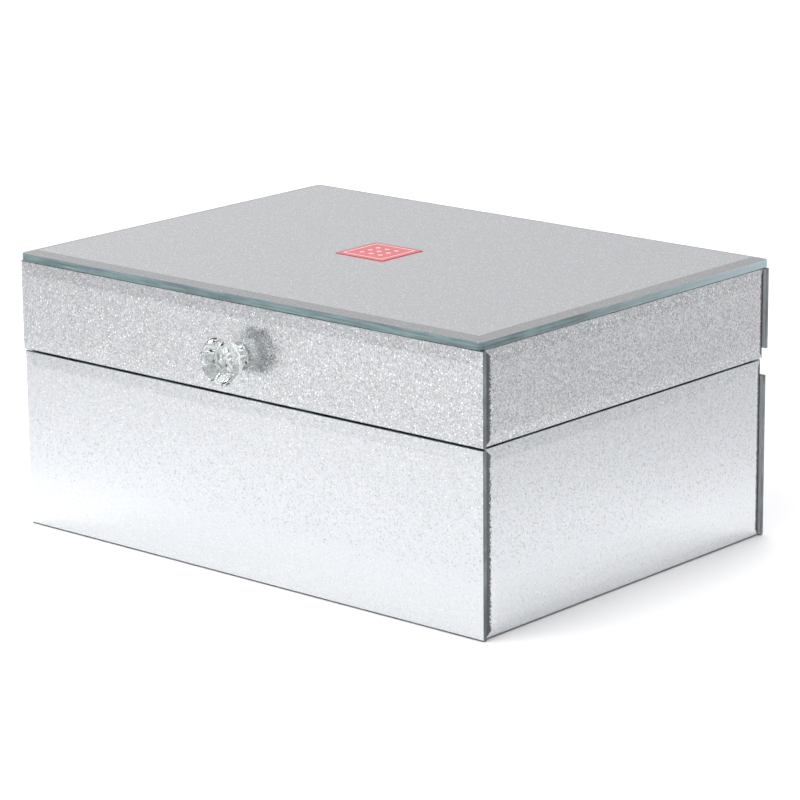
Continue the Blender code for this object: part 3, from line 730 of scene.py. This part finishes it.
def ripple(mesh, size, height, seed=0.0, box=None):
    """Moves each point along its normal by smooth noise, and keeps it inside the box if there is one."""
    shift = Vector((seed, 2 * seed, 3 * seed))
    normals = [vertex.normal.copy() for vertex in mesh.vertices]
    for vertex, normal in zip(mesh.vertices, normals):
        vertex.co += normal * height * noise.noise(vertex.co / size + shift)
        if box:
            for k in range(3):
                vertex.co[k] = min(max(vertex.co[k], box[0][k]), box[1][k])


def covered_card(node, radius, spacing=3.5 * MM, height=0.1 * MM):
    """A card covered in velvet: soft edges and a faint unevenness of the cloth."""
    low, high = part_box(node)
    name = node + "_velvet"
    mesh = cushioned_box(name, low, high, radius, spacing)
    ripple(mesh, 11 * MM, height, box=(low, high))
    return add_piece(name, mesh, node, "velvet", velvet)


def blown_up(name, low, high, margin, radius, spacing, pressure, cap, grow):
    """A stuffed shape: a slightly smaller box, swollen by a short cloth simulation and kept in its space.

    cap is how far a point may move, and grow how much the cloth stretches by itself.
    """
    start = (low + Vector(margin), high - Vector(margin))
    mesh = cushioned_box(name, *start, radius, spacing)
    ripple(mesh, 9 * MM, 0.5 * MM, seed=low.y * 100)
    before = [vertex.co.copy() for vertex in mesh.vertices]
    shape = bpy.data.objects.new(name + "_cloth", mesh)
    bpy.context.scene.collection.objects.link(shape)
    cloth = shape.modifiers.new("Cloth", "CLOTH")
    cloth.settings.quality = 6
    cloth.settings.mass = 0.15
    cloth.settings.use_pressure = True
    cloth.settings.uniform_pressure_force = pressure
    cloth.settings.shrink_min = -grow
    cloth.settings.effector_weights.gravity = 0.0
    scene = bpy.context.scene
    for number in range(1, CLOTH_FRAMES + 1):
        scene.frame_set(number)
    graph = bpy.context.evaluated_depsgraph_get()
    swollen = [vertex.co.copy() for vertex in shape.evaluated_get(graph).data.vertices]
    shape.modifiers.clear()
    bpy.data.objects.remove(shape)
    scene.frame_set(1)
    for vertex, old, new in zip(mesh.vertices, before, swollen):
        move = new - old
        if move.length > cap:
            move *= cap / move.length
        vertex.co = old + move
    for vertex in mesh.vertices:
        for k in range(3):
            vertex.co[k] = min(max(vertex.co[k], low[k]), high[k])
    smooth = ("SUBSURF", {"levels": 1, "render_levels": 1})
    mesh = finished_mesh(name, mesh, smooth)
    mesh.shade_smooth()
    return mesh


def ring_rolls():
    """The five long rolls that rings are pushed between."""
    for node in sorted(name for name in frame["nodes"] if name.startswith("ring_roll")):
        low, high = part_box(node)
        mesh = blown_up(
            "stuffed_" + node,
            low,
            high,
            margin=(1.2 * MM, 0.9 * MM, 0.9 * MM),
            radius=5.0 * MM,
            spacing=2.6 * MM,
            pressure=4.0,
            cap=3.0 * MM,
            grow=0.05,
        )
        add_piece("stuffed_" + node, mesh, node, "velvet", velvet)


def lid_pad():
    """The padded panel inside the lid."""
    low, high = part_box("lid_pad")
    mesh = blown_up(
        "padded_lid_panel",
        low,
        high,
        margin=(0.8 * MM, 0.8 * MM, 0.2 * MM),
        radius=1.4 * MM,
        spacing=3.2 * MM,
        pressure=3.0,
        cap=2.5 * MM,
        grow=0.02,
    )
    add_piece("padded_lid_panel", mesh, "lid_pad", "velvet", velvet)


def floor_lining():
    """The thin padding on the base's floor."""
    piece = covered_card("base_floor_lining", radius=0.7 * MM, spacing=3.2 * MM, height=0.25 * MM)


# ---------------------------------------------------------------- carried-over nodes


def recoat(node, coat, edge=0.0):
    """Gives a CAD node a better material and, where it has sharp edges, a fine rounding."""
    part = frame["nodes"][node]
    part.data.materials.clear()
    part.data.materials.append(coat)
    if edge:
        bevel = part.modifiers.new("Soft edges", "BEVEL")
        bevel.width = edge
        bevel.segments = 2
        bevel.limit_method = "ANGLE"
        bevel.angle_limit = math.radians(50)


for body in ("base", "lid"):
    for side in HEADINGS:
        wall_pane(body, side)
top_plate()
knob()
label()

for side in ("front", "rear", "left", "right"):
    recoat(f"base_{side}_board", fibreboard, BOARD_ROUNDING)
    recoat(f"lid_{side}_rail", fibreboard, BOARD_ROUNDING)
    covered_card(f"base_{side}_lining", radius=0.5 * MM)
recoat("base_floor_board", fibreboard, BOARD_ROUNDING)
recoat("lid_top_board", fibreboard, BOARD_ROUNDING)
recoat("base_felt", felt, FELT_ROUNDING)
for node in ("base_rim_trim", "lid_rim_trim", "lid_side_lining"):
    recoat(node, velvet)
for node in ("long_divider", "front_divider", "rear_divider"):
    covered_card(node, radius=1.2 * MM, spacing=3.0 * MM, height=0.18 * MM)
for node in ("left_bumper", "right_bumper"):
    recoat(node, rubber)
for node in frame["nodes"]:
    if "hinge" in node or node in ("knob_screw", "knob_washer"):
        recoat(node, nickel)
floor_lining()
ring_rolls()
lid_pad()


# ---------------------------------------------------------------- stage, lights and camera


def floor():
    """A pale studio floor, far wider than any view."""
    shape = bmesh.new()
    bmesh.ops.create_grid(shape, x_segments=1, y_segments=1, size=FLOOR_HALF_WIDTH)
    mesh = as_mesh("studio_floor", shape)
    piece = bpy.data.objects.new("studio_floor", mesh)
    bpy.context.scene.collection.objects.link(piece)
    made = Finish("studio_floor")
    grain = made.noise(0.4)
    made.set(
        Base_Color=made.mix(grain, (0.86, 0.86, 0.865), (0.88, 0.88, 0.885)),
        Roughness=0.9,
        Specular_IOR_Level=0.1,
    )
    mesh.materials.append(made.material)


def world(dark, light, towards):
    """A soft sky that is light towards one direction and darker away from it."""
    sky = bpy.data.worlds.new("studio")
    sky.use_nodes = True
    tree = sky.node_tree
    coords = tree.nodes.new("ShaderNodeTexCoord")
    facing = tree.nodes.new("ShaderNodeVectorMath")
    facing.operation = "DOT_PRODUCT"
    facing.inputs[1].default_value = Vector(towards).normalized()
    spread = tree.nodes.new("ShaderNodeMapRange")
    spread.interpolation_type = "SMOOTHSTEP"
    spread.inputs["From Min"].default_value = -0.8
    spread.inputs["From Max"].default_value = 0.7
    blend = tree.nodes.new("ShaderNodeMix")
    blend.data_type = "RGBA"
    sockets = [s for s in blend.inputs if s.enabled]
    sockets[1].default_value = (*dark, 1.0)
    sockets[2].default_value = (*light, 1.0)
    tree.links.new(coords.outputs["Generated"], facing.inputs[0])
    tree.links.new(facing.outputs["Value"], spread.inputs["Value"])
    tree.links.new(spread.outputs["Result"], sockets[0])
    colour = next(s for s in blend.outputs if s.enabled)
    tree.links.new(colour, tree.nodes["Background"].inputs["Color"])
    # A camera that looks over the floor sees a plain pale backdrop instead of the sky.
    seen = tree.nodes.new("ShaderNodeLightPath")
    backdrop = tree.nodes.new("ShaderNodeBackground")
    backdrop.inputs["Color"].default_value = (*BACKDROP, 1.0)
    chosen = tree.nodes.new("ShaderNodeMixShader")
    tree.links.new(seen.outputs["Is Camera Ray"], chosen.inputs[0])
    tree.links.new(tree.nodes["Background"].outputs[0], chosen.inputs[1])
    tree.links.new(backdrop.outputs[0], chosen.inputs[2])
    tree.links.new(chosen.outputs[0], tree.nodes["World Output"].inputs["Surface"])
    bpy.context.scene.world = sky


def softbox(name, at, aim, size, power, spread, mirrored=True):
    """A rectangular light, its spread in degrees. Glossy surfaces mirror it unless mirrored is false."""
    light = bpy.data.lights.new(name, "AREA")
    light.shape = "RECTANGLE"
    light.size, light.size_y = size
    light.energy = power
    light.spread = math.radians(spread)
    lamp = bpy.data.objects.new(name, light)
    lamp.location = at
    lamp.rotation_euler = (Vector(aim) - Vector(at)).to_track_quat("-Z", "Y").to_euler()
    lamp.visible_camera = False
    lamp.visible_glossy = mirrored
    bpy.context.scene.collection.objects.link(lamp)


def camera():
    """The camera, aimed by its azimuth and elevation and turned a little about its own axis."""
    az, el, roll = CAMERA_AZIMUTH, CAMERA_ELEVATION, CAMERA_ROLL
    back = Vector((math.sin(az) * math.cos(el), -math.cos(az) * math.cos(el), math.sin(el)))
    level = Vector((math.cos(az), math.sin(az), 0.0))
    above = back.cross(level)
    right = math.cos(roll) * level + math.sin(roll) * above
    up = math.cos(roll) * above - math.sin(roll) * level
    lens = bpy.data.cameras.new("camera")
    lens.lens = CAMERA_LENS
    lens.clip_start = 0.01
    lens.clip_end = 100.0
    view = bpy.data.objects.new("camera", lens)
    turn = Matrix((right, up, back)).transposed().to_4x4()
    view.matrix_world = Matrix.Translation(CAMERA_AT) @ turn
    bpy.context.scene.collection.objects.link(view)
    bpy.context.scene.camera = view


floor()
world(dark=(0.16, 0.17, 0.19), light=(0.90, 0.90, 0.915), towards=(-0.45, -0.36, 0.82))
softbox("key_softbox", (-0.06, -0.44, 0.80), (-0.08, -0.36, 0.0), size=(0.4, 0.4), power=1.45, spread=90)
softbox("side_softbox", (0.19, 0.02, 0.40), (0.155, 0.02, 0.0), size=(0.2, 0.3), power=0.065, spread=50)
softbox(
    "background_softbox",
    (-0.9, 1.5, 2.0),
    (-0.7, 1.3, 0.0),
    size=(1.8, 1.8),
    power=17.0,
    spread=85,
    mirrored=False,
)
camera()
bpy.context.scene.view_settings.view_transform = "Standard"
